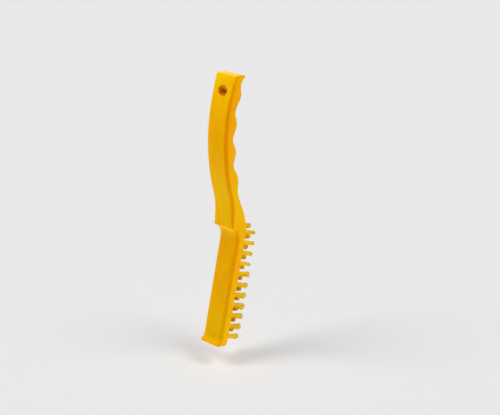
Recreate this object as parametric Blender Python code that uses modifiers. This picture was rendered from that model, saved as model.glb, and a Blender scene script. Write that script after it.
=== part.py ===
"""Hand detailing brush: one moulded plastic stock and three rows of bristle tufts.

Run it with: blender --background --python part.py

The frame is the brush hung up by its handle. The origin is the centre of the hang hole.
+Z points up along the handle, X runs across the width, and the stock is the same on
both sides of X = 0. The smooth back of the brush faces -Y. The finger grooves and the
bristles face +Y.

The side outline of the stock is worked out in the YZ plane and then carried across the
width, drawn in at both sides so that the long edges come out rounded. Each tuft is its
own piece. Its root fills a blind hole in the head, and a flat wire anchor, lying across
the foot of the root, reaches into two pockets in the wall of the hole.
"""

import math
import random

import bpy
import bmesh
from mathutils import Matrix, Vector

MM = 0.001

# Stock: heights are measured from the centre of the hang hole
TOP_END = 14.6 * MM
BOW_DROP = 42.9 * MM
LAND_DROP = 98.0 * MM
STEP_DROP = 112.8 * MM
HEEL_DROP = 113.1 * MM
HEAD_LENGTH = 105.3 * MM
WIDTH_AT_TOP = 22.3 * MM
WIDTH_AT_TOE = 21.3 * MM

# Back of the handle: a bow above, an S bend below it and a short straight land
BACK_OF_HOLE = 6.1 * MM
UPPER_BACK_RADIUS = 134.5 * MM
LAND_FORWARD = 7.5 * MM
S_BEND_UPPER_SHARE = 0.76
HOLE_FLAT = 14.0 * MM

# Finger side of the handle: even grooves between crests, then the neck and the heel
CREST_THICKNESS = 12.9 * MM
GROOVE_DEPTH = 3.5 * MM
GROOVE_PITCH = 22.15 * MM
FIRST_CREST_DROP = 3.5 * MM
LAST_CREST = 3
NECK_DROP = 84.5 * MM
NECK_THICKNESS = 9.7 * MM
HEEL_THICKNESS = 16.5 * MM
HEEL_RADIUS = 50.0 * MM
TOP_END_TILT = math.radians(6.5)

# Head: a thinner bar, tilted back, with a step at the handle and a lip at the toe
HEAD_TILT = math.radians(13.9)
HEAD_THICKNESS = 9.0 * MM
TOE_END_TILT = math.radians(2.4)
STEP_FILLET = 11.8 * MM
LIP_HEIGHT = 2.4 * MM
LIP_LAND = 2.0 * MM
LIP_FILLET = 6.8 * MM

# Rounding of the outline's corners and of the long side edges
END_CORNER = 2.2 * MM
STEP_CORNER = 1.6 * MM
LIP_CORNER = 1.3 * MM
TOE_CORNER = 3.0 * MM
BACK_EDGE = 3.0 * MM
GRIP_EDGE = 2.0 * MM
FACE_EDGE = 0.9 * MM
LIP_EDGE = 1.6 * MM
SMALL_EDGE = 0.8 * MM

# Hang hole through the top of the handle, rounded where it opens on the back
HANG_HOLE_RADIUS = 4.7 * MM
HANG_RIM_ROUND = 0.6 * MM

# Tufts: two outer rows in line, and a middle row set half a pitch up
TUFTS_PER_ROW = 11
TUFT_PITCH = 9.1 * MM
ROW_SPACING = 6.2 * MM
TOE_TO_FIRST_TUFT = 7.3 * MM
TUFT_LEAN = math.radians(8.0)
TUFT_RADIUS = 1.9 * MM
TUFT_HOLE_DEPTH = 6.5 * MM
TRIM_LENGTH = 17.4 * MM
TRIM_SCATTER = 0.5 * MM
TIP_SPREAD = 1.3
TIP_TAPER = 0.62
STRAND_GAP = 0.09 * MM
ROOT_TOP_DROP = 0.25 * MM

# Flat wire anchor across the foot of each root
ANCHOR_THICKNESS = 0.4 * MM
ANCHOR_HEIGHT = 1.6 * MM
ANCHOR_BITE = 0.9 * MM
ANCHOR_RISE = 0.6 * MM

# Between the tufts and their holes, on every side
CLEARANCE = 0.3 * MM

# Plastics
STOCK_COLOUR = (0.86, 0.42, 0.004)
STOCK_ROUGHNESS = 0.34
BRISTLE_COLOUR = (0.88, 0.56, 0.03)
BRISTLE_ROUGHNESS = 0.42

# How finely curves are cut up, and how cutters run past what they open
BACK_STATION = 7.0 * MM
GROOVE_STATIONS = 10
CORNER_STEPS = 4
FILLET_STEPS = 6
CORNER_SHARE = 0.48
CORNER_ROOM = 2.0
EDGE_STEPS = 3
HANG_HOLE_SIDES = 32
TUFT_HOLE_ARC_STEPS = 5
ROOT_ARC_STEPS = 3
CUTTER_OVERRUN = 2.0 * MM
MERGE_DISTANCE = 0.01 * MM
SEED = 7


def clear_scene():
    for scene_object in list(bpy.data.objects):
        bpy.data.objects.remove(scene_object, do_unlink=True)


def plastic(name, colour, roughness):
    """Principled material of one plastic."""
    material = bpy.data.materials.new(name)
    material.use_nodes = True
    shader = material.node_tree.nodes["Principled BSDF"]
    shader.inputs["Base Color"].default_value = (*colour, 1.0)
    shader.inputs["Roughness"].default_value = roughness
    shader.inputs["Metallic"].default_value = 0.0
    material.diffuse_color = (*colour, 1.0)
    return material


def add_object(name, bm, collection, material=None):
    """New object that takes its shape from the bmesh."""
    mesh = bpy.data.meshes.new(name)
    bmesh.ops.recalc_face_normals(bm, faces=bm.faces)
    bm.to_mesh(mesh)
    bm.free()
    new_object = bpy.data.objects.new(name, mesh)
    collection.objects.link(new_object)
    if material:
        mesh.materials.append(material)
    return new_object


def make_cutter(cutter):
    cutter.hide_render = True
    cutter.display_type = "WIRE"


def cut(target, cutter):
    """Boolean difference kept as a modifier."""
    boolean = target.modifiers.new(cutter.name, "BOOLEAN")
    boolean.operation = "DIFFERENCE"
    boolean.solver = "EXACT"
    boolean.object = cutter


# Side outline, as functions of height and as corners in the YZ plane


def arc_sag(radius, run):
    """How far an arc falls away from its tangent after a run along it."""
    return radius - math.sqrt(radius * radius - run * run)


def ease(start, end, share):
    """Smooth step between two values that starts and ends flat."""
    return start + (end - start) * (1.0 - math.cos(math.pi * share)) / 2.0


def bow_y():
    """Y of the back where the handle bows out farthest."""
    return -BACK_OF_HOLE - arc_sag(UPPER_BACK_RADIUS, BOW_DROP)


def land_y():
    return bow_y() + LAND_FORWARD


def s_bend():
    """Radii of the two arcs between the bow and the land, and where they meet."""
    run = LAND_DROP - BOW_DROP
    radii = (run * run + LAND_FORWARD * LAND_FORWARD) / (2.0 * LAND_FORWARD)
    return radii * S_BEND_UPPER_SHARE, radii * (1.0 - S_BEND_UPPER_SHARE), run * S_BEND_UPPER_SHARE


def back_y(z):
    """Y of the handle's back at a height."""
    drop = -z
    if drop <= BOW_DROP:
        return bow_y() + arc_sag(UPPER_BACK_RADIUS, BOW_DROP - drop)
    if drop >= LAND_DROP:
        return land_y()
    upper_radius, lower_radius, meeting_run = s_bend()
    run = drop - BOW_DROP
    if run <= meeting_run:
        return bow_y() + arc_sag(upper_radius, run)
    return land_y() - arc_sag(lower_radius, LAND_DROP - drop)


def handle_thickness(z):
    """Thickness of the handle along Y: grooves, then the neck, then the swell to the heel."""
    drop = -z
    last_crest_drop = FIRST_CREST_DROP + LAST_CREST * GROOVE_PITCH
    if drop <= last_crest_drop:
        turn = 2.0 * math.pi * (drop - FIRST_CREST_DROP) / GROOVE_PITCH
        return CREST_THICKNESS - GROOVE_DEPTH * (1.0 - math.cos(turn)) / 2.0
    if drop <= NECK_DROP:
        share = (drop - last_crest_drop) / (NECK_DROP - last_crest_drop)
        return ease(CREST_THICKNESS, NECK_THICKNESS, share)
    share = (drop - NECK_DROP) / (HEEL_DROP - NECK_DROP)
    return ease(NECK_THICKNESS, HEEL_THICKNESS, min(share, 1.0))


def heel_tangent():
    """Point where the heel's arc runs into the flat bristle face."""
    y = land_y() + HEEL_THICKNESS - HEEL_RADIUS * (1.0 - math.cos(HEAD_TILT))
    return y, -HEEL_DROP - HEEL_RADIUS * math.sin(HEAD_TILT)


def front_y(z):
    """Y of the finger side and of the bristle face at a height."""
    if z >= -HEEL_DROP:
        return back_y(z) + handle_thickness(z)
    tangent_y, tangent_z = heel_tangent()
    if z >= tangent_z:
        return land_y() + HEEL_THICKNESS - arc_sag(HEEL_RADIUS, -HEEL_DROP - z)
    return tangent_y - (tangent_z - z) * math.tan(HEAD_TILT)


def half_width(z):
    """Half of the width, which tapers evenly from the top end to the toe."""
    share = (TOP_END - z) / (TOP_END - toe_corner().y)
    return (WIDTH_AT_TOP + (WIDTH_AT_TOE - WIDTH_AT_TOP) * share) / 2.0


def head_point(along, inward):
    """Point (y, z) on the head: a distance up from the toe, and one in from the face."""
    up = Vector((math.sin(HEAD_TILT), math.cos(HEAD_TILT)))
    into = Vector((-math.cos(HEAD_TILT), math.sin(HEAD_TILT)))
    return toe_corner() + up * along + into * inward


def toe_corner():
    """Sharp corner (y, z) of the toe on the bristle face."""
    z = -HEEL_DROP - HEAD_LENGTH * math.cos(HEAD_TILT)
    return Vector((front_y(z), z))


def hole_flat():
    """Heights of the ends of the flat that the hang hole opens on."""
    return -HOLE_FLAT / 2.0, min(HOLE_FLAT / 2.0, TOP_END - CORNER_ROOM * END_CORNER)


def step_edge():
    """Sharp edge of the step as a distance up the head from the toe and one in from the face."""
    offset = Vector((land_y(), -STEP_DROP)) - toe_corner()
    up = Vector((math.sin(HEAD_TILT), math.cos(HEAD_TILT)))
    into = Vector((-math.cos(HEAD_TILT), math.sin(HEAD_TILT)))
    return offset.dot(up), offset.dot(into)


def fillet_points(along, inward, radius, side):
    """Points (y, z) of a fillet that rises from the head's sunk back to an edge.

    The edge lies at a distance along the head and one in from the face. The side is 1 when
    the fillet rises away from the toe, and -1 when it rises towards the toe. The points run
    from the sunk back up to the edge and leave the edge itself out.
    """
    full_turn = math.acos(1.0 - (inward - HEAD_THICKNESS) / radius)
    foot = along - side * radius * math.sin(full_turn)
    points = []
    for step in range(FILLET_STEPS):
        turn = full_turn * step / FILLET_STEPS
        points.append(head_point(
            foot + side * radius * math.sin(turn),
            HEAD_THICKNESS + radius * (1.0 - math.cos(turn)),
        ))
    return points


def evenly(first, last, spacing):
    """Values from first to last at no more than the spacing, both ends included."""
    count = max(1, math.ceil(abs(last - first) / spacing))
    return [first + (last - first) * i / count for i in range(count + 1)]


def outline_corners():
    """Corners of the side outline as (y, z, corner radius, edge radius)."""
    corners = [(*head_point(0.0, 0.0), TOE_CORNER, FACE_EDGE)]

    tangent_z = heel_tangent()[1]
    for z in evenly(tangent_z, -HEEL_DROP, BACK_STATION):
        corners.append((front_y(z), z, 0.0, FACE_EDGE))

    groove_station = GROOVE_PITCH / GROOVE_STATIONS
    tip_z = TOP_END - (CREST_THICKNESS - GROOVE_DEPTH) * math.tan(TOP_END_TILT)
    for z in evenly(-HEEL_DROP, tip_z - CORNER_ROOM * END_CORNER, groove_station)[1:]:
        corners.append((front_y(z), z, 0.0, GRIP_EDGE))
    corners.append((front_y(tip_z), tip_z, END_CORNER, SMALL_EDGE))
    corners.append((back_y(TOP_END), TOP_END, END_CORNER, SMALL_EDGE))

    flat_bottom, flat_top = hole_flat()
    corners.append((back_y(flat_top), flat_top, 0.0, BACK_EDGE))
    for z in evenly(flat_bottom, -LAND_DROP, BACK_STATION):
        corners.append((back_y(z), z, 0.0, BACK_EDGE))
    corners.append((land_y(), CORNER_ROOM * STEP_CORNER - STEP_DROP, 0.0, BACK_EDGE))
    corners.append((land_y(), -STEP_DROP, STEP_CORNER, SMALL_EDGE))

    for y, z in reversed(fillet_points(*step_edge(), STEP_FILLET, 1.0)):
        corners.append((y, z, 0.0, BACK_EDGE))
    lip_top = HEAD_THICKNESS + LIP_HEIGHT
    for y, z in fillet_points(LIP_LAND, lip_top, LIP_FILLET, -1.0):
        corners.append((y, z, 0.0, BACK_EDGE))
    corners.append((*head_point(LIP_LAND, lip_top), LIP_CORNER, LIP_EDGE))
    toe_overhang = lip_top * math.tan(TOE_END_TILT)
    corners.append((*head_point(-toe_overhang, lip_top), LIP_CORNER, LIP_EDGE))
    return corners


def rounded_outline():
    """Outline as (point, edge radius), with an arc in place of each corner that has a radius."""
    corners = outline_corners()
    outline = []
    for i, (y, z, radius, edge) in enumerate(corners):
        corner = Vector((y, z))
        if radius == 0.0:
            outline.append((corner, edge))
            continue
        before = Vector(corners[i - 1][:2]) - corner
        after = Vector(corners[(i + 1) % len(corners)][:2]) - corner
        half_angle = before.angle(after) / 2.0
        room = CORNER_SHARE * min(before.length, after.length)
        setback = min(radius / math.tan(half_angle), room)
        fitted = setback * math.tan(half_angle)
        middle = (before.normalized() + after.normalized()).normalized()
        centre = corner + middle * fitted / math.sin(half_angle)
        start = corner + before.normalized() * setback - centre
        sweep = start.angle_signed(corner + after.normalized() * setback - centre)
        for step in range(CORNER_STEPS + 1):
            turned = Matrix.Rotation(-sweep * step / CORNER_STEPS, 2) @ start
            outline.append((centre + turned, edge))
    return outline


def outline_normals(points):
    """Outward unit normal at each point of the outline."""
    normals = []
    for i, point in enumerate(points):
        ahead = (points[(i + 1) % len(points)] - point).normalized()
        behind = (point - points[i - 1]).normalized()
        along = (ahead + behind).normalized()
        normals.append(Vector((along.y, -along.x)))
    return normals


def softened(edges):
    """Edge radii with each one held near the smallest of its neighbours."""
    count = len(edges)
    soft = list(edges)
    for i in range(count):
        around = [edges[(i + j) % count] for j in (-1, 0, 1)]
        soft[i] = (min(around) + edges[i]) / 2.0
    return soft


def make_stock(collection, material):
    """Stock: the outline carried across the width, with rounded side edges."""
    outline = rounded_outline()
    points = [point for point, edge in outline]
    area = sum(a.x * b.y - b.x * a.y for a, b in zip(points, points[1:] + points[:1]))
    normals = outline_normals(points)
    if area < 0.0:
        normals = [-normal for normal in normals]
    edges = softened([edge for point, edge in outline])

    bm = bmesh.new()
    rings = []
    for side in (-1.0, 1.0):
        turns = [math.pi / 2.0 * step / EDGE_STEPS for step in range(EDGE_STEPS + 1)]
        for turn in reversed(turns) if side < 0.0 else turns:
            ring = []
            for point, normal, edge in zip(points, normals, edges):
                y, z = point - normal * edge * (1.0 - math.cos(turn))
                x = side * (half_width(z) - edge * (1.0 - math.sin(turn)))
                ring.append(bm.verts.new((x, y, z)))
            rings.append(ring)
    for ring, following in zip(rings, rings[1:]):
        for i in range(len(ring)):
            j = (i + 1) % len(ring)
            bm.faces.new((ring[i], ring[j], following[j], following[i]))
    bm.faces.new(rings[0])
    bm.faces.new(rings[-1])
    return add_object("brush_stock", bm, collection, material)


def hang_hole_cutter(collection):
    """Turned cutter for the hang hole, flared where it leaves the back."""
    bottom, top = hole_flat()
    slope = (back_y(top) - back_y(bottom)) / (top - bottom)
    tilt = math.atan(slope)
    depth = -(back_y(bottom) - bottom * slope) * math.cos(tilt)

    reach = CREST_THICKNESS + CUTTER_OVERRUN
    profile = [(0.0, reach), (HANG_HOLE_RADIUS, reach)]
    for step in range(EDGE_STEPS + 1):
        turn = math.pi / 2.0 * step / EDGE_STEPS
        flare = HANG_RIM_ROUND * (1.0 - math.cos(turn))
        rise = HANG_RIM_ROUND * (1.0 - math.sin(turn))
        profile.append((HANG_HOLE_RADIUS + flare, -depth + rise))
    profile.append((HANG_HOLE_RADIUS + HANG_RIM_ROUND, -reach))
    profile.append((0.0, -reach))

    bm = bmesh.new()
    vertices = [bm.verts.new((radius, 0.0, height)) for radius, height in profile]
    for a, b in zip(vertices, vertices[1:]):
        bm.edges.new((a, b))
    mesh = bpy.data.meshes.new("hang_hole_cutter")
    bm.to_mesh(mesh)
    bm.free()
    cutter = bpy.data.objects.new("hang_hole_cutter", mesh)
    collection.objects.link(cutter)
    screw = cutter.modifiers.new("turned", "SCREW")
    screw.steps = HANG_HOLE_SIDES
    screw.render_steps = HANG_HOLE_SIDES
    screw.use_merge_vertices = True
    screw.merge_threshold = MERGE_DISTANCE
    cutter.rotation_euler = (-math.pi / 2.0 - tilt, 0.0, 0.0)
    make_cutter(cutter)
    return cutter


def tuft_seat(row, index):
    """Matrix of a tuft: origin on the bristle face, +Z out along the bristles."""
    along = TOE_TO_FIRST_TUFT + index * TUFT_PITCH
    if row == 0:
        along += TUFT_PITCH / 2.0
    z = head_point(along, 0.0).y
    place = Matrix.Translation((row * ROW_SPACING, front_y(z), z))
    return place @ Matrix.Rotation(-math.pi / 2.0 - HEAD_TILT - TUFT_LEAN, 4, "X")


def add_root(bm, angles, radius, levels, bite):
    """Closed prism with two ears, grown along local Y between the middle levels."""
    rings = []
    for level in levels:
        ring = []
        for angle in angles:
            ring.append(bm.verts.new((radius * math.sin(angle), radius * math.cos(angle), level)))
        rings.append(ring)
    ears = []
    for ring, following in zip(rings, rings[1:]):
        for i in range(len(ring)):
            j = (i + 1) % len(ring)
            face = bm.faces.new((ring[i], ring[j], following[j], following[i]))
            if ring is rings[1] and i in (0, len(ring) // 2):
                ears.append(face)
    bm.faces.new(rings[0])
    cap = bm.faces.new(rings[-1])
    bmesh.ops.recalc_face_normals(bm, faces=list({f for r in rings for v in r for f in v.link_faces}))
    for ear in ears:
        outward = ear.calc_center_median()
        outward = Vector((0.0, math.copysign(bite, outward.y), 0.0))
        grown = bmesh.ops.extrude_discrete_faces(bm, faces=[ear])["faces"][0]
        bmesh.ops.translate(bm, vec=outward, verts=grown.verts)
    return cap, rings[-1]


def ear_angles(half_thickness, radius, sides_each_half):
    """Angles of a ring whose first and middle edges face +Y and -Y, one ear wide."""
    half = math.asin(half_thickness / radius)
    angles = []
    for start in (0.0, math.pi):
        first = start + half
        last = start + math.pi - half
        angles += [first + (last - first) * i / sides_each_half for i in range(sides_each_half + 1)]
    return [angles[-1] - 2.0 * math.pi] + angles[:-1]


def tuft_holes_cutter(collection):
    """One cutter that holds a blind hole with anchor pockets for every tuft."""
    hole_radius = TUFT_RADIUS + CLEARANCE
    slot_half = ANCHOR_THICKNESS / 2.0 + CLEARANCE
    angles = ear_angles(slot_half, hole_radius, TUFT_HOLE_ARC_STEPS)
    anchor_low = -TUFT_HOLE_DEPTH + CLEARANCE + ANCHOR_RISE
    anchor_high = anchor_low + ANCHOR_HEIGHT
    levels = (-TUFT_HOLE_DEPTH, anchor_low - CLEARANCE, anchor_high + CLEARANCE, CUTTER_OVERRUN)
    bm = bmesh.new()
    for row in (-1, 0, 1):
        for index in range(TUFTS_PER_ROW):
            hole = bmesh.new()
            add_root(hole, angles, hole_radius, levels, ANCHOR_BITE + CLEARANCE)
            hole.transform(tuft_seat(row, index))
            piece = bpy.data.meshes.new("hole")
            hole.to_mesh(piece)
            hole.free()
            bm.from_mesh(piece)
            bpy.data.meshes.remove(piece)
    cutter = add_object("tuft_holes_cutter", bm, collection)
    make_cutter(cutter)
    return cutter


def make_tuft(name, seat, collection, material, rng):
    """Tuft: a root with its anchor, and strands grown from the root's top."""
    angles = ear_angles(ANCHOR_THICKNESS / 2.0, TUFT_RADIUS, ROOT_ARC_STEPS)
    foot_level = -TUFT_HOLE_DEPTH + CLEARANCE
    anchor_low = foot_level + ANCHOR_RISE
    levels = (foot_level, anchor_low, anchor_low + ANCHOR_HEIGHT, -ROOT_TOP_DROP)
    bm = bmesh.new()
    cap, outer = add_root(bm, angles, TUFT_RADIUS, levels, ANCHOR_BITE)
    strands = strand_cells(bm, cap, outer)
    bmesh.ops.inset_individual(bm, faces=strands, thickness=STRAND_GAP, use_even_offset=True)
    for cell in strands:
        grown = bmesh.ops.extrude_discrete_faces(bm, faces=[cell])["faces"][0]
        root = grown.calc_center_median()
        length = TRIM_LENGTH + rng.uniform(-TRIM_SCATTER, TRIM_SCATTER)
        tip = Vector((root.x * TIP_SPREAD, root.y * TIP_SPREAD, length))
        for vertex in grown.verts:
            vertex.co = tip + (vertex.co - root) * TIP_TAPER
    tuft = add_object(name, bm, collection, material)
    tuft.matrix_world = seat
    return tuft


def strand_cells(bm, cap, outer):
    """Cut the root's top into triangles and return those that carry a strand.

    The outer ring has eight corners: two at each ear, 0 and 1, then 4 and 5, and two
    between the ears on either side. The inner ring has a corner behind each ear and
    one on either side. The thin triangles behind the ears carry no strand.
    """
    height = outer[0].co.z
    bmesh.ops.delete(bm, geom=[cap], context="FACES_ONLY")
    inner = []
    for x, y in ((0.0, 1.0), (1.0, 0.0), (0.0, -1.0), (-1.0, 0.0)):
        inner.append(bm.verts.new((x * TUFT_RADIUS / 2.0, y * TUFT_RADIUS / 2.0, height)))
    fans = (
        (inner[0], (outer[7], outer[0], outer[1], outer[2])),
        (inner[1], (outer[2], outer[3])),
        (inner[2], (outer[3], outer[4], outer[5], outer[6])),
        (inner[3], (outer[6], outer[7])),
    )
    ears = ((outer[0], outer[1]), (outer[4], outer[5]))
    cells = []
    for i, (hub, rim) in enumerate(fans):
        for pair in zip(rim, rim[1:]):
            cell = bm.faces.new((hub, *pair))
            if pair not in ears:
                cells.append(cell)
        cells.append(bm.faces.new((hub, rim[-1], inner[(i + 1) % 4])))
    cells.append(bm.faces.new((inner[0], inner[1], inner[2])))
    cells.append(bm.faces.new((inner[0], inner[2], inner[3])))
    bmesh.ops.recalc_face_normals(bm, faces=bm.faces)
    return cells


def main():
    clear_scene()
    brush = bpy.data.collections.new("detailing_brush")
    cutters = bpy.data.collections.new("cutters")
    bpy.context.scene.collection.children.link(brush)
    bpy.context.scene.collection.children.link(cutters)

    stock_plastic = plastic("yellow_moulded_plastic", STOCK_COLOUR, STOCK_ROUGHNESS)
    bristle_plastic = plastic("yellow_bristle_filament", BRISTLE_COLOUR, BRISTLE_ROUGHNESS)

    stock = make_stock(brush, stock_plastic)
    cut(stock, hang_hole_cutter(cutters))
    cut(stock, tuft_holes_cutter(cutters))

    rng = random.Random(SEED)
    rows = {-1: "left", 0: "middle", 1: "right"}
    for row, side in rows.items():
        for index in range(TUFTS_PER_ROW):
            name = f"tuft_{side}_{index + 1:02d}"
            make_tuft(name, tuft_seat(row, index), brush, bristle_plastic, rng)


main()
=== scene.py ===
# %% [markdown]
# # A hand detailing brush
#
# The brush is one moulded plastic stock with a finger-grooved handle, a sunk head and
# three rows of bristle tufts. Its solids are already modelled and packed, so this script
# only dresses them. It starts by loading them as a fixed frame, in metres, with the
# centre of the hang hole at the origin and the bristles facing +Y.

# %% Load the solids
import math
import random

import bmesh
import bpy
from mathutils import Matrix, Vector


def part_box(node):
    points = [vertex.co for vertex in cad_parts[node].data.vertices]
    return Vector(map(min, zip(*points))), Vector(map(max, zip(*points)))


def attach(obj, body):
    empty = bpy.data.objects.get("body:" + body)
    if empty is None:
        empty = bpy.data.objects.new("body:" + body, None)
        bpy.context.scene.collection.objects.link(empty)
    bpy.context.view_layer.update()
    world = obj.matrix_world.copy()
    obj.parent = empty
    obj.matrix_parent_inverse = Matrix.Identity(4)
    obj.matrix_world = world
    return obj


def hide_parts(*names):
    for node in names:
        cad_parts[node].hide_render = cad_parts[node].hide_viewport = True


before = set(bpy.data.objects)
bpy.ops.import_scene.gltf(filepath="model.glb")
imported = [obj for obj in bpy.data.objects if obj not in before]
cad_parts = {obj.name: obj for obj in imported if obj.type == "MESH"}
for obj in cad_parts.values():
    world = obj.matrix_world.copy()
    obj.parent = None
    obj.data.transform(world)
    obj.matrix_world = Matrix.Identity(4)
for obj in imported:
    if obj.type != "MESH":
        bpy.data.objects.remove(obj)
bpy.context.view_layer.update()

MM = 0.001


def in_mm(lengths):
    """Lengths in millimetres, rounded for printing."""
    return [round(length / MM, 2) for length in lengths]


# %% [markdown]
# ## Camera
#
# A camera an arm's length away looks down on the toe more steeply than on the handle's
# end, and that shows in how the cross edges slant. An 85 mm lens from just under a metre
# gives this slight change. The camera stands 43 degrees round from the smooth back and
# 20 degrees above the brush, so that the back and one side show about equally wide.

# %% Stand the camera up
CAMERA_PLACE = Vector((0.6346, -0.6448, 0.2405))
CAMERA_TURN = math.radians(43.4)
CAMERA_PITCH = math.radians(69.5)
LENS_LENGTH = 85.0
SENSOR_WIDTH = 36.0

lens = bpy.data.cameras.new("camera")
lens.sensor_width = SENSOR_WIDTH
lens.lens = LENS_LENGTH
camera = bpy.data.objects.new("camera", lens)
camera.location = CAMERA_PLACE
camera.rotation_euler = (CAMERA_PITCH, 0.0, CAMERA_TURN)
bpy.context.scene.collection.objects.link(camera)
bpy.context.scene.camera = camera
print("camera distance in m:", round(camera.location.length, 2))

# %% [markdown]
# ## Colours and nodes
#
# A colour picked from a screen is stored as sRGB, while the shader adds up light in
# linear numbers, so one function turns the hex values over. Another adds a node to a
# material with its settings, its fixed values and its links in one call, which keeps
# each material short enough to read from top to bottom. The colour sockets of a Mix node
# share their names with its other sockets, so they are reached by number. The last one
# tells apart what is seen from what only lights the brush, since the card and the room
# both look brighter than the light that they give.

# %% Small helpers for materials
MIX_A, MIX_B, MIX_RESULT = 6, 7, 2
WHITE = "#FFFFFF"


def linear(hex_colour):
    """Linear RGBA of an sRGB colour such as #FFCC00."""
    shares = [int(hex_colour[i:i + 2], 16) / 255.0 for i in (1, 3, 5)]
    return [s / 12.92 if s <= 0.04045 else ((s + 0.055) / 1.055) ** 2.4 for s in shares] + [1.0]


def add_node(tree, kind, settings=None, values=None, links=None):
    """Node of a kind, with its properties, its sockets' values and what feeds its sockets."""
    node = tree.nodes.new(kind)
    for name, value in (settings or {}).items():
        setattr(node, name, value)
    for name, value in (values or {}).items():
        node.inputs[name].default_value = value
    for name, output in (links or {}).items():
        tree.links.new(output, node.inputs[name])
    return node


def start_material(name, look):
    """New material with its node tree and its Principled shader, set to a look."""
    material = bpy.data.materials.new(name)
    material.use_nodes = True
    shader = material.node_tree.nodes["Principled BSDF"]
    for socket, value in look.items():
        shader.inputs[socket].default_value = value
    return material, material.node_tree, shader


def seen_directly(tree):
    """1 for rays from the lens, off a mirror or through glass, and 0 for the rest."""
    path = add_node(tree, "ShaderNodeLightPath")
    mirrored = add_node(tree, "ShaderNodeMath", {"operation": "MAXIMUM"},
                        links={0: path.outputs["Is Camera Ray"], 1: path.outputs["Is Glossy Ray"]})
    through = add_node(tree, "ShaderNodeMath", {"operation": "MAXIMUM"},
                       links={0: mirrored.outputs[0], 1: path.outputs["Is Transmission Ray"]})
    return through.outputs[0]


print("middle grey in linear light:", round(linear("#808080")[0], 3))

# %% [markdown]
# ## Floor
#
# The brush hovers a finger's width above a pale card, which is a plain plane, so one grid
# of a single face is enough. It is large, so that its far edge stays out of sight.

# %% Lay the card
HOVER = 18.0 * MM
CARD_REACH = 6.0

floor_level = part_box("brush_stock")[0].z - HOVER
bm = bmesh.new()
bmesh.ops.create_grid(bm, x_segments=1, y_segments=1, size=CARD_REACH,
                      matrix=Matrix.Translation((0.0, 0.0, floor_level)))
card_mesh = bpy.data.meshes.new("card")
bm.to_mesh(card_mesh)
bm.free()
card = bpy.data.objects.new("card", card_mesh)
bpy.context.scene.collection.objects.link(card)
print("card lies at z in mm:", round(floor_level / MM, 1))

# %% [markdown]
# The card lies on a light table, so it is a middling grey that also glows. To the lens
# the glow is even, which lifts the card to a pale grey and keeps the shadows faint. To
# the brush it is uneven: the table's lamp sits right under the brush, so more light comes
# up there, and it reaches the head and the underside of each curve more than the handle's
# end. The grey is the share of light that the card sends back, so it is already linear.

# %% Give the card its finish
CARD_GREY = 0.55
CARD_GLOW = 0.38
TABLE_LAMP_REACH = 0.35
TABLE_LAMP_EDGE = 0.05
TABLE_LAMP_CENTRE = 0.3

card_finish, tree, shader = start_material("matt_grey_card_on_a_light_table", {
    "Base Color": (CARD_GREY, CARD_GREY, CARD_GREY, 1.0),
    "Roughness": 1.0,
    "Specular IOR Level": 0.0,
    "Emission Color": linear(WHITE),
})
place = add_node(tree, "ShaderNodeTexCoord")
centred = add_node(tree, "ShaderNodeMapping", {"vector_type": "TEXTURE"},
                   {"Location": (0.0, 0.0, floor_level), "Scale": [TABLE_LAMP_REACH] * 3},
                   {"Vector": place.outputs["Object"]})
nearness = add_node(tree, "ShaderNodeTexGradient", {"gradient_type": "SPHERICAL"},
                    links={"Vector": centred.outputs["Vector"]})
uneven = add_node(tree, "ShaderNodeMapRange",
                  values={"To Min": TABLE_LAMP_EDGE, "To Max": TABLE_LAMP_CENTRE},
                  links={"Value": nearness.outputs["Fac"]})
glow = add_node(tree, "ShaderNodeMix", {"data_type": "FLOAT"}, {"B": CARD_GLOW},
                {"Factor": seen_directly(tree), "A": uneven.outputs["Result"]})
tree.links.new(glow.outputs["Result"], shader.inputs["Emission Strength"])
card_mesh.materials.append(card_finish)
print("card glow:", CARD_GLOW)

# %% [markdown]
# ## Light
#
# Two broad lamps hang high to the left and the right of the brush and light the card
# too, so each throws one faint shadow. A sun lamp with a wide disc gives the soft edge of
# a big studio lamp, and lights the whole card evenly.


# %% Hang the two high lamps
def aimed(azimuth, elevation):
    """Turn that makes a lamp shine from its azimuth and elevation towards the brush."""
    tilt = Matrix.Rotation(math.radians(90.0 - elevation), 4, "X")
    return Matrix.Rotation(math.radians(azimuth), 4, "Z") @ tilt


def hang_sun(name, azimuth, elevation, strength, disc):
    """Broad lamp far away, whose disc in degrees sets how soft its shadows are."""
    lamp = bpy.data.lights.new(name, "SUN")
    lamp.energy = strength
    lamp.angle = math.radians(disc)
    stand = bpy.data.objects.new(name, lamp)
    stand.matrix_world = aimed(azimuth, elevation)
    bpy.context.scene.collection.objects.link(stand)
    print(name, "azimuth", azimuth, "elevation", elevation, "strength", strength)
    return stand


hang_sun("high_left_lamp", azimuth=-34.0, elevation=52.0, strength=1.6, disc=26.0)
hang_sun("high_right_lamp", azimuth=108.0, elevation=58.0, strength=1.2, disc=26.0)

# %% [markdown]
# The rest of the light is kept off the card, as a photographer does with black flags, and
# light linking does that here. A softbox hangs near the handle's end, so its light falls
# off towards the head. Two stand low on either side of the rounded edge that faces the
# camera, so the faces beside the edge are bright and the edge itself stays darker. One
# lights the bristles from behind. Two lamps below the light table shine up into the step
# and the underside of each curve.

# %% Flag the card
flagged = bpy.data.collections.new("kept_out_of_softbox_light")
flagged.objects.link(card)
flagged.collection_objects[0].light_linking.link_state = "EXCLUDE"


def keep_off_card(stand):
    """Lets a lamp light everything but the card, and hides it from mirrors."""
    stand.visible_glossy = False
    stand.light_linking.receiver_collection = flagged
    stand.light_linking.blocker_collection = flagged


print("flagged off:", card.name)

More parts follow.
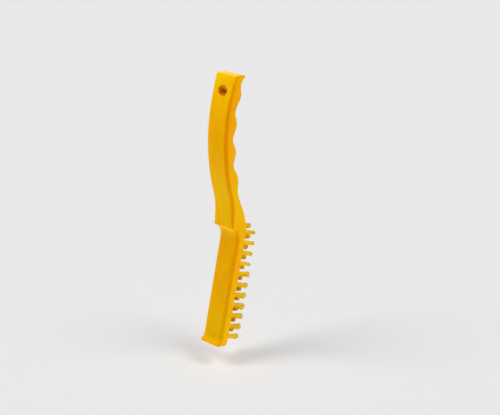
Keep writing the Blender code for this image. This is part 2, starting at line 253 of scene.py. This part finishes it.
# %% Stand the softboxes and the table lamps round the brush
SOFTBOXES = {
    "top_softbox": {
        "azimuth": -34.0, "elevation": 66.0, "level": 0.0,
        "distance": 0.2, "size": 0.12, "power": 0.2},
    "low_left_softbox": {
        "azimuth": -25.0, "elevation": -10.0, "level": -0.11,
        "distance": 0.45, "size": 0.2, "power": 0.25},
    "low_right_softbox": {
        "azimuth": 118.0, "elevation": 0.0, "level": -0.09,
        "distance": 0.35, "size": 0.2, "power": 0.47},
    "rear_softbox": {
        "azimuth": 215.0, "elevation": 50.0, "level": -0.10,
        "distance": 0.6, "size": 0.3, "power": 1.4},
}

for name, facts in SOFTBOXES.items():
    softbox = bpy.data.lights.new(name, "AREA")
    softbox.energy = facts["power"]
    softbox.size = facts["size"]
    stand = bpy.data.objects.new(name, softbox)
    target = Matrix.Translation((0.0, 0.0, facts["level"]))
    stand.matrix_world = (target @ aimed(facts["azimuth"], facts["elevation"])
                          @ Matrix.Translation((0.0, 0.0, facts["distance"])))
    keep_off_card(stand)
    bpy.context.scene.collection.objects.link(stand)
    print(name, facts)

for name, azimuth, elevation, strength in (("left_table_lamp", -30.0, -60.0, 1.5),
                                           ("right_table_lamp", 100.0, -40.0, 0.85)):
    keep_off_card(hang_sun(name, azimuth, elevation, strength, disc=20.0))

# %% [markdown]
# The room around is a pale grey wall to the camera, and to anything that mirrors it. To
# the rest it gives only a trace of light, so that the lamps shape the brush.

# %% Light the room faintly
ROOM_LIGHT = 0.06
BACKDROP_GREY = "#E9E9E9"

room = bpy.data.worlds.new("room")
bpy.context.scene.world = room
room.use_nodes = True
tree = room.node_tree
tree.nodes.clear()
faint = add_node(tree, "ShaderNodeBackground",
                 values={"Color": linear(WHITE), "Strength": ROOM_LIGHT})
pale = add_node(tree, "ShaderNodeBackground",
                values={"Color": linear(BACKDROP_GREY), "Strength": 1.0})
mixed = add_node(tree, "ShaderNodeMixShader",
                 links={0: seen_directly(tree), 1: faint.outputs[0], 2: pale.outputs[0]})
add_node(tree, "ShaderNodeOutputWorld", links={"Surface": mixed.outputs[0]})
bpy.context.scene.view_settings.view_transform = "Standard"
print("room light:", ROOM_LIGHT)

# %% [markdown]
# ## Moulded plastic
#
# The stock is polypropylene, injection moulded in one shot and coloured right through.
# A colour ramp over the height paints shade and light along the stock. Its deeper
# orange bands are painted shade, where less light falls on the bow of the handle and on
# the head, and its paler end face is a painted highlight. The pigment is strong, so the
# little that shines back is tinted as well. Light goes a short way into the plastic, red
# the furthest, which keeps its edges warm.

# %% Paint shade and light along the height
# Painted shade in the deeper stops, and a painted highlight in the pale top stop.
SHADE_BANDS = {
    -205.0 * MM: "#EFBD00",
    -145.0 * MM: "#EFB300",
    -90.0 * MM: "#EFBF00",
    -33.0 * MM: "#EFB200",
    13.3 * MM: "#EFC200",
    14.4 * MM: "#D0B23A",
}

polypropylene, tree, shader = start_material("polypropylene_moulded_fine_grain", {
    "IOR": 1.49,
    "Specular IOR Level": 0.1,
    "Specular Tint": linear("#FFB800"),
    "Subsurface Weight": 0.6,
    "Subsurface Radius": (1.0, 0.15, 0.02),
    "Subsurface Scale": 0.6 * MM,
})
place = add_node(tree, "ShaderNodeTexCoord")
spot = add_node(tree, "ShaderNodeSeparateXYZ", links={"Vector": place.outputs["Object"]})
lowest, highest = min(SHADE_BANDS), max(SHADE_BANDS)
height = add_node(tree, "ShaderNodeMapRange", values={"From Min": lowest, "From Max": highest},
                  links={"Value": spot.outputs["Z"]})
bands = add_node(tree, "ShaderNodeValToRGB", links={"Fac": height.outputs["Result"]})
bands.color_ramp.interpolation = "EASE"
for level in list(SHADE_BANDS)[1:-1]:
    bands.color_ramp.elements.new((level - lowest) / (highest - lowest))
for stop, tint in zip(bands.color_ramp.elements, SHADE_BANDS.values()):
    stop.color = linear(tint)
print("melt bands:", len(bands.color_ramp.elements))

# %% [markdown]
# The flow of the melt leaves faint streaks along the handle. They are noise that is
# stretched along the flow, with finer lines of the same kind mixed in, and they make the
# yellow slightly deeper. Their tint is the share of each colour that they let through, so
# it is already linear.

# %% Streak it along the flow
STREAK_TINT = (0.944, 0.814, 1.0, 1.0)
STREAK_WIDTH = 9.0 * MM
STREAK_LENGTH = 40.0 * MM
FLOW_LINE_WIDTH = 1.8 * MM
FLOW_LINE_SHARE = 0.4
STREAK_LOW, STREAK_HIGH = 0.3, 0.7

stretched = add_node(tree, "ShaderNodeMapping",
                     values={"Scale": (1.0, 1.0, STREAK_WIDTH / STREAK_LENGTH)},
                     links={"Vector": place.outputs["Object"]})
streaks = add_node(tree, "ShaderNodeTexNoise",
                   values={"Scale": 1.0 / STREAK_WIDTH, "Detail": 3.0, "Roughness": 0.5},
                   links={"Vector": stretched.outputs["Vector"]})
flow_lines = add_node(tree, "ShaderNodeTexNoise",
                      values={"Scale": 1.0 / FLOW_LINE_WIDTH, "Detail": 1.0},
                      links={"Vector": stretched.outputs["Vector"]})
mottle = add_node(tree, "ShaderNodeMix", {"data_type": "FLOAT"}, {"Factor": FLOW_LINE_SHARE},
                  {"A": streaks.outputs["Fac"], "B": flow_lines.outputs["Fac"]})
tone = add_node(tree, "ShaderNodeMapRange",
                values={"From Min": STREAK_LOW, "From Max": STREAK_HIGH},
                links={"Value": mottle.outputs["Result"]})
streaked = add_node(tree, "ShaderNodeMix", {"data_type": "RGBA", "blend_type": "MULTIPLY"},
                    {MIX_B: STREAK_TINT},
                    {"Factor": tone.outputs["Result"], MIX_A: bands.outputs["Color"]})
print("streaks in mm:", in_mm([STREAK_WIDTH, STREAK_LENGTH]))

# %% [markdown]
# The rounded edge between the back and the right side is painted a deeper orange, as
# painted shade on the edge that turns away from the lamps on either side. How far the
# surface faces right times how far it faces back is nothing on the flat faces and most on
# that edge, so it picks the edge out. The second counts double, up to one, and that puts
# the deepest colour a little towards the side. It fades towards the toe. Near the
# handle's end the whole right side is painted a little deeper too, as painted shade.

# %% Paint shade on the rounded edge and the upper side
# Painted shade: the deeper orange on the rounded edge and the upper right side.
EDGE_SHADE_ORANGE = "#F89400"
BACK_COUNTS = 2.0
EDGE_FADES_FROM = -60.0 * MM
EDGE_FADES_OUT = -225.0 * MM
SIDE_SHADE_SHARE = 0.4
SIDE_SHADE_FROM = -40.0 * MM
SIDE_SHADE_FULL = 5.0 * MM

surface = add_node(tree, "ShaderNodeNewGeometry")
facing = add_node(tree, "ShaderNodeSeparateXYZ", links={"Vector": surface.outputs["Normal"]})
rightwards = add_node(tree, "ShaderNodeMath", {"operation": "MAXIMUM"}, {1: 0.0},
                      {0: facing.outputs["X"]})
backwards = add_node(tree, "ShaderNodeMath", {"operation": "MULTIPLY", "use_clamp": True},
                     {1: -BACK_COUNTS}, {0: facing.outputs["Y"]})
on_edge = add_node(tree, "ShaderNodeMath", {"operation": "MULTIPLY"},
                   links={0: rightwards.outputs[0], 1: backwards.outputs[0]})
above_toe = add_node(tree, "ShaderNodeMapRange",
                     values={"From Min": EDGE_FADES_OUT, "From Max": EDGE_FADES_FROM},
                     links={"Value": spot.outputs["Z"]})
fading = add_node(tree, "ShaderNodeMath", {"operation": "MULTIPLY"},
                  links={0: on_edge.outputs[0], 1: above_toe.outputs["Result"]})
near_end = add_node(tree, "ShaderNodeMapRange",
                    values={"From Min": SIDE_SHADE_FROM, "From Max": SIDE_SHADE_FULL,
                            "To Max": SIDE_SHADE_SHARE},
                    links={"Value": spot.outputs["Z"]})
deep_side = add_node(tree, "ShaderNodeMath", {"operation": "MULTIPLY"},
                     links={0: rightwards.outputs[0], 1: near_end.outputs["Result"]})
deeper = add_node(tree, "ShaderNodeMath", {"operation": "MAXIMUM"},
                  links={0: fading.outputs[0], 1: deep_side.outputs[0]})
edged = add_node(tree, "ShaderNodeMix", {"data_type": "RGBA"}, {MIX_B: linear(EDGE_SHADE_ORANGE)},
                 {"Factor": deeper.outputs[0], MIX_A: streaked.outputs[MIX_RESULT]})
print("edge fades over mm:", in_mm([EDGE_FADES_FROM, EDGE_FADES_OUT]))

# %% [markdown]
# The wall of the hang hole is painted a deeper orange, as painted shade for light that
# has already bounced off yellow plastic. The distance from the hole's axis tells the wall
# from the rest. Along the wall, painted light makes it bright at the mouth on the back
# and at the top and the foot of the hole, and the painted shade is deepest in the band
# across its middle.

# %% Paint shade and light on the wall of the hang hole
BORE_RADIUS = 4.7 * MM
BORE_RIM = 0.6 * MM
BORE_AXIS = (0.0, -0.94761, 0.31944)
BORE_UP = (0.0, 0.31944, 0.94761)
# Painted light at the mouth, top and foot of the wall, painted shade across its middle.
BORE_LIT_ORANGE = "#FFBC00"
BORE_SHADE_ORANGE = "#A04400"
BORE_MOUTH = 5.0 * MM
BAND_CORE = 0.3 * MM
BAND_EDGE = 3.0 * MM

off_axis = add_node(tree, "ShaderNodeVectorMath", {"operation": "CROSS_PRODUCT"},
                    {1: BORE_AXIS}, {0: place.outputs["Object"]})
away = add_node(tree, "ShaderNodeVectorMath", {"operation": "LENGTH"},
                links={0: off_axis.outputs["Vector"]})
in_bore = add_node(tree, "ShaderNodeMapRange",
                   values={"From Min": BORE_RADIUS + BORE_RIM, "From Max": BORE_RADIUS},
                   links={"Value": away.outputs["Value"]})
outwards = add_node(tree, "ShaderNodeVectorMath", {"operation": "DOT_PRODUCT"},
                    {1: BORE_AXIS}, {0: place.outputs["Object"]})
at_mouth = add_node(tree, "ShaderNodeMapRange",
                    values={"From Min": 0.0, "From Max": BORE_MOUTH},
                    links={"Value": outwards.outputs["Value"]})
upwards = add_node(tree, "ShaderNodeVectorMath", {"operation": "DOT_PRODUCT"},
                   {1: BORE_UP}, {0: place.outputs["Object"]})
off_middle = add_node(tree, "ShaderNodeMath", {"operation": "ABSOLUTE"},
                      links={0: upwards.outputs["Value"]})
off_band = add_node(tree, "ShaderNodeMapRange", {"interpolation_type": "SMOOTHSTEP"},
                    {"From Min": BAND_CORE, "From Max": BAND_EDGE},
                    {"Value": off_middle.outputs[0]})
painted_light_share = add_node(tree, "ShaderNodeMath", {"operation": "MAXIMUM"},
                    links={0: at_mouth.outputs["Result"], 1: off_band.outputs["Result"]})
wall = add_node(tree, "ShaderNodeMix", {"data_type": "RGBA"},
                {MIX_A: linear(BORE_SHADE_ORANGE), MIX_B: linear(BORE_LIT_ORANGE)},
                {"Factor": painted_light_share.outputs[0]})
bored = add_node(tree, "ShaderNodeMix", {"data_type": "RGBA"},
                 links={"Factor": in_bore.outputs["Result"], MIX_A: edged.outputs[MIX_RESULT],
                        MIX_B: wall.outputs[MIX_RESULT]})
tree.links.new(bored.outputs[MIX_RESULT], shader.inputs["Base Color"])
print("bore radius in mm:", round(BORE_RADIUS / MM, 1))

# %% [markdown]
# The mould was spark eroded, and the fine grain that this leaves makes the shine soft and
# broad. How rough the surface is follows the streaks a little. The real grain is under a
# tenth of a millimetre, too fine to show, so it is drawn at a third of a millimetre.

# %% Give the plastic its shine and grain
SMOOTHEST, ROUGHEST = 0.30, 0.42
GRAIN_SIZE = 0.35 * MM
GRAIN_DEPTH = 0.02 * MM
GRAIN_STRENGTH = 0.25

shine = add_node(tree, "ShaderNodeMapRange", values={"To Min": SMOOTHEST, "To Max": ROUGHEST},
                 links={"Value": streaks.outputs["Fac"]})
tree.links.new(shine.outputs["Result"], shader.inputs["Roughness"])
grain = add_node(tree, "ShaderNodeTexNoise", values={"Scale": 1.0 / GRAIN_SIZE, "Detail": 2.0},
                 links={"Vector": place.outputs["Object"]})
relief = add_node(tree, "ShaderNodeBump",
                  values={"Strength": GRAIN_STRENGTH, "Distance": GRAIN_DEPTH},
                  links={"Height": grain.outputs["Fac"]})
tree.links.new(relief.outputs["Normal"], shader.inputs["Normal"])
print("grain in mm:", round(GRAIN_SIZE / MM, 2), "nodes:", len(tree.nodes))

# %% [markdown]
# ## Stock
#
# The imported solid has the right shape, but its mesh is loose triangles that shade flat.
# The finished stock is a copy whose corners are merged and whose flat triangles are
# joined into single faces again. Weighted normals then keep the broad faces flat and let
# the rounded edges carry the turn, as on a mould cut with a ball-nosed tool.

# %% Merge a copy of the stock
MERGE = 0.002 * MM
FLAT_WITHIN = math.radians(0.3)
SHARP_FROM = math.radians(38.0)


def finish_piece(name, bm, finish, slot, *nodes):
    """New object from a bmesh, with its finish, riding on the body in place of nodes."""
    mesh = bpy.data.meshes.new(name)
    bm.to_mesh(mesh)
    bm.free()
    mesh.materials.append(finish)
    piece = bpy.data.objects.new(name, mesh)
    bpy.context.scene.collection.objects.link(piece)
    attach(piece, "root")
    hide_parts(*nodes)
    return piece


bm = bmesh.new()
bm.from_mesh(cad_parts["brush_stock"].data)
bmesh.ops.remove_doubles(bm, verts=bm.verts, dist=MERGE)
bmesh.ops.dissolve_limit(bm, angle_limit=FLAT_WITHIN, verts=bm.verts, edges=bm.edges)
for face in bm.faces:
    face.smooth = True
for edge in bm.edges:
    edge.smooth = edge.calc_face_angle(0.0) < SHARP_FROM
stock_faces = len(bm.faces)
stock = finish_piece("moulded_stock", bm, polypropylene, "stock_plastic", "brush_stock")
weighted = stock.modifiers.new("flat_faces_stay_flat", "WEIGHTED_NORMAL")
weighted.keep_sharp = True
print("stock faces:", stock_faces)

# %% [markdown]
# ## Bristle filament
#
# The bristles are polyester filament, extruded and cut to length. Extruding leaves them
# smooth and slightly clear, with a soft yellow sheen where light skims them. Their
# colour runs from a deeper yellow at the root, painted shade near the head, to a lighter
# one at the tips, painted light. Between the filaments, where light would pass through one
# after another, a deeper orange is painted in as painted shade. Ambient occlusion finds
# those places, since it measures how shut in a point is. The middle row stands between
# the two others, so it gets only part of the daylight, and an attribute on its tufts
# paints more of that shade on it.

# %% Polyester for the bristles
# Painted shade at the roots and between filaments, painted light towards the tips.
ROOT_SHADE_YELLOW = "#FFCA00"
TIP_LIT_YELLOW = "#FFE420"
FILAMENT_SHADE_ORANGE = "#FF8E00"
SHADE_REACH = 5.0 * MM
SHADE_DEEPEST = 0.1
SHADE_LIGHTEST = 0.55
SHADE_RAYS = 8

polyester, tree, shader = start_material("polyester_filament_extruded", {
    "IOR": 1.57,
    "Roughness": 0.38,
    "Specular IOR Level": 0.3,
    "Specular Tint": linear("#FFC800"),
    "Sheen Weight": 0.9,
    "Sheen Roughness": 0.5,
    "Sheen Tint": linear("#FFB800"),
    "Subsurface Weight": 0.3,
    "Subsurface Radius": (1.0, 0.8, 0.4),
    "Subsurface Scale": 0.6 * MM,
})
along = add_node(tree, "ShaderNodeAttribute", {"attribute_name": "along"})
clear = add_node(tree, "ShaderNodeMix", {"data_type": "RGBA"},
                 {MIX_A: linear(ROOT_SHADE_YELLOW), MIX_B: linear(TIP_LIT_YELLOW)},
                 {"Factor": along.outputs["Fac"]})
shade = add_node(tree, "ShaderNodeAmbientOcclusion", {"samples": SHADE_RAYS},
                 {"Distance": SHADE_REACH})
open_air = add_node(tree, "ShaderNodeMapRange",
                    values={"From Min": SHADE_DEEPEST, "From Max": SHADE_LIGHTEST},
                    links={"Value": shade.outputs["AO"]})
# The middle row's daylight attribute paints more shade on it.
daylight = add_node(tree, "ShaderNodeAttribute", {"attribute_name": "daylight"})
unshaded = add_node(tree, "ShaderNodeMath", {"operation": "MULTIPLY"},
                    links={0: open_air.outputs["Result"], 1: daylight.outputs["Fac"]})
painted_shade_mix = add_node(tree, "ShaderNodeMix", {"data_type": "RGBA"},
                    {MIX_A: linear(FILAMENT_SHADE_ORANGE)},
                    {"Factor": unshaded.outputs[0], MIX_B: clear.outputs[MIX_RESULT]})
tree.links.new(painted_shade_mix.outputs[MIX_RESULT], shader.inputs["Base Color"])
print("filament tints:", ROOT_SHADE_YELLOW, "to", TIP_LIT_YELLOW)

# %% [markdown]
# ## One filament
#
# A filament is a six-sided rod cut into short lengths, so that it can bend. It is as long
# as the trim that shows plus the root in the hole. The rod is made once and copied some
# fifteen hundred times, so it has only a few dozen faces.

# %% Make one filament
FILAMENT_WIDTH = 0.46 * MM
TRIM = 17.4 * MM
ROOT_DEPTH = 6.2 * MM
FILAMENT_SIDES = 6
FILAMENT_CUTS = 6

bm = bmesh.new()
bmesh.ops.create_cone(bm, cap_ends=True, segments=FILAMENT_SIDES, radius1=FILAMENT_WIDTH / 2.0,
                      radius2=FILAMENT_WIDTH / 2.0, depth=TRIM + ROOT_DEPTH,
                      matrix=Matrix.Translation((0.0, 0.0, (TRIM - ROOT_DEPTH) / 2.0)))
long_edges = [edge for edge in bm.edges if edge.calc_length() > TRIM]
bmesh.ops.subdivide_edges(bm, edges=long_edges, cuts=FILAMENT_CUTS)
for face in bm.faces:
    face.smooth = len(face.verts) == 4
filament = bpy.data.meshes.new("filament")
bm.to_mesh(filament)
bm.free()
print("filament faces:", len(filament.polygons))

# %% [markdown]
# ## Tufts
#
# A tuft is a bundle of filaments, folded over a flat wire and punched into a blind hole.
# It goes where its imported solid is: the foot of the solid gives the place of the hole.

# %% Find where a tuft leaves the head
TILT_OF_TUFTS = math.radians(21.9)
OUT_OF_HEAD = Vector((0.0, math.cos(TILT_OF_TUFTS), -math.sin(TILT_OF_TUFTS)))


def seat_of(node):
    """Where a tuft leaves the head, with local +Z along its filaments."""
    corners = [vertex.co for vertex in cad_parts[node].data.vertices]
    deepest = min(corner.dot(OUT_OF_HEAD) for corner in corners)
    foot = [corner for corner in corners if corner.dot(OUT_OF_HEAD) < deepest + MERGE]
    low = Vector(min(corner[i] for corner in foot) for i in range(3))
    high = Vector(max(corner[i] for corner in foot) for i in range(3))
    seat = (low + high) / 2.0 + OUT_OF_HEAD * ROOT_DEPTH
    return Matrix.Translation(seat) @ Matrix.Rotation(-math.pi / 2.0 - TILT_OF_TUFTS, 4, "X")


print("first tuft leaves the head at mm:", in_mm(seat_of("tuft_right_01").translation))

# %% [markdown]
# The hole grips the bundle, so the filaments start in the even spiral of a sunflower
# head. Above the hole they fan out, and the whole tuft leans a little, and each filament
# bends a way of its own, more towards its tip. The ends are ragged, and the outer ones
# are worn shorter, which rounds the end of the tuft into a crown.

# %% Bundle the filaments of a tuft
FILAMENTS = 46
BUNDLE_RADIUS = 1.75 * MM
SUNFLOWER_TURN = math.radians(137.508)
LEAN = 0.25 * MM
BEND = 0.22 * MM
BEND_CURVE = 1.5
RAGGED = 0.35 * MM
MIDDLE_DAYLIGHT = 0.6


def bundle(node, spread, short, crown, rng):
    """Tuft in place of a node, fanned out by spread, cut short and rounded by its crown."""
    bm = bmesh.new()
    shares = []
    lean = Vector((rng.gauss(0.0, LEAN), rng.gauss(0.0, LEAN)))
    for i in range(FILAMENTS):
        bm.from_mesh(filament)
        bm.verts.ensure_lookup_table()
        out = math.sqrt((i + 0.5) / FILAMENTS)
        turn = i * SUNFLOWER_TURN
        home = Vector((math.cos(turn), math.sin(turn))) * BUNDLE_RADIUS * out
        bend = home * (spread - 1.0) + lean
        bend += Vector((rng.gauss(0.0, BEND), rng.gauss(0.0, BEND)))
        ragged = min(rng.gauss(0.0, RAGGED), RAGGED)
        reach = 1.0 + (ragged - (short + crown * out ** 2) * MM) / TRIM
        for vertex in bm.verts[-len(filament.vertices):]:
            share = max(vertex.co.z, 0.0) / TRIM
            shares.append(share)
            if vertex.co.z > 0.0:
                vertex.co.z *= reach
            vertex.co.xy += home + bend * share ** BEND_CURVE
    bm.transform(seat_of(node))
    tuft = finish_piece(node + "_filaments", bm, polyester, "bristle_filament", node)
    along = tuft.data.attributes.new("along", "FLOAT", "POINT")
    along.data.foreach_set("value", shares)
    daylight = tuft.data.attributes.new("daylight", "FLOAT", "POINT")
    row_light = MIDDLE_DAYLIGHT if "middle" in node else 1.0
    daylight.data.foreach_set("value", [row_light] * len(shares))
    return tuft


print("filaments in a tuft:", FILAMENTS)

# %% [markdown]
# No two tufts are alike. Those of the near row are set one by one: how far each fans out,
# how many millimetres it is short of the trim, and how many its outer filaments are
# shorter still. The other rows draw these three numbers at random from a fixed seed, so
# that each run gives the same brush.

# %% Fill the three rows
NEAR_ROW = {
    "tuft_right_01": (1.15, 1.4, 0.3),
    "tuft_right_02": (1.55, 0.2, 1.2),
    "tuft_right_03": (1.35, 0.0, 0.8),
    "tuft_right_04": (1.75, 0.0, 1.4),
    "tuft_right_05": (1.60, 0.6, 1.2),
    "tuft_right_06": (1.25, 0.4, 0.8),
    "tuft_right_07": (1.30, 0.0, 1.2),
    "tuft_right_08": (0.75, 0.0, 3.0),
    "tuft_right_09": (0.95, 0.8, 0.8),
    "tuft_right_10": (0.90, 1.0, 0.6),
    "tuft_right_11": (0.90, 0.6, 2.4),
}
SPREADS = (1.0, 1.35)
SHORTS = (0.6, 1.4)
CROWNS = (0.3, 1.2)
SEED = 11

rng = random.Random(SEED)
tufts = []
for node in sorted(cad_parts):
    if node.startswith("tuft"):
        drawn = rng.uniform(*SPREADS), rng.uniform(*SHORTS), rng.uniform(*CROWNS)
        tufts.append(bundle(node, *NEAR_ROW.get(node, drawn), rng))
print("tufts:", len(tufts), "faces in each:", len(tufts[0].data.polygons))
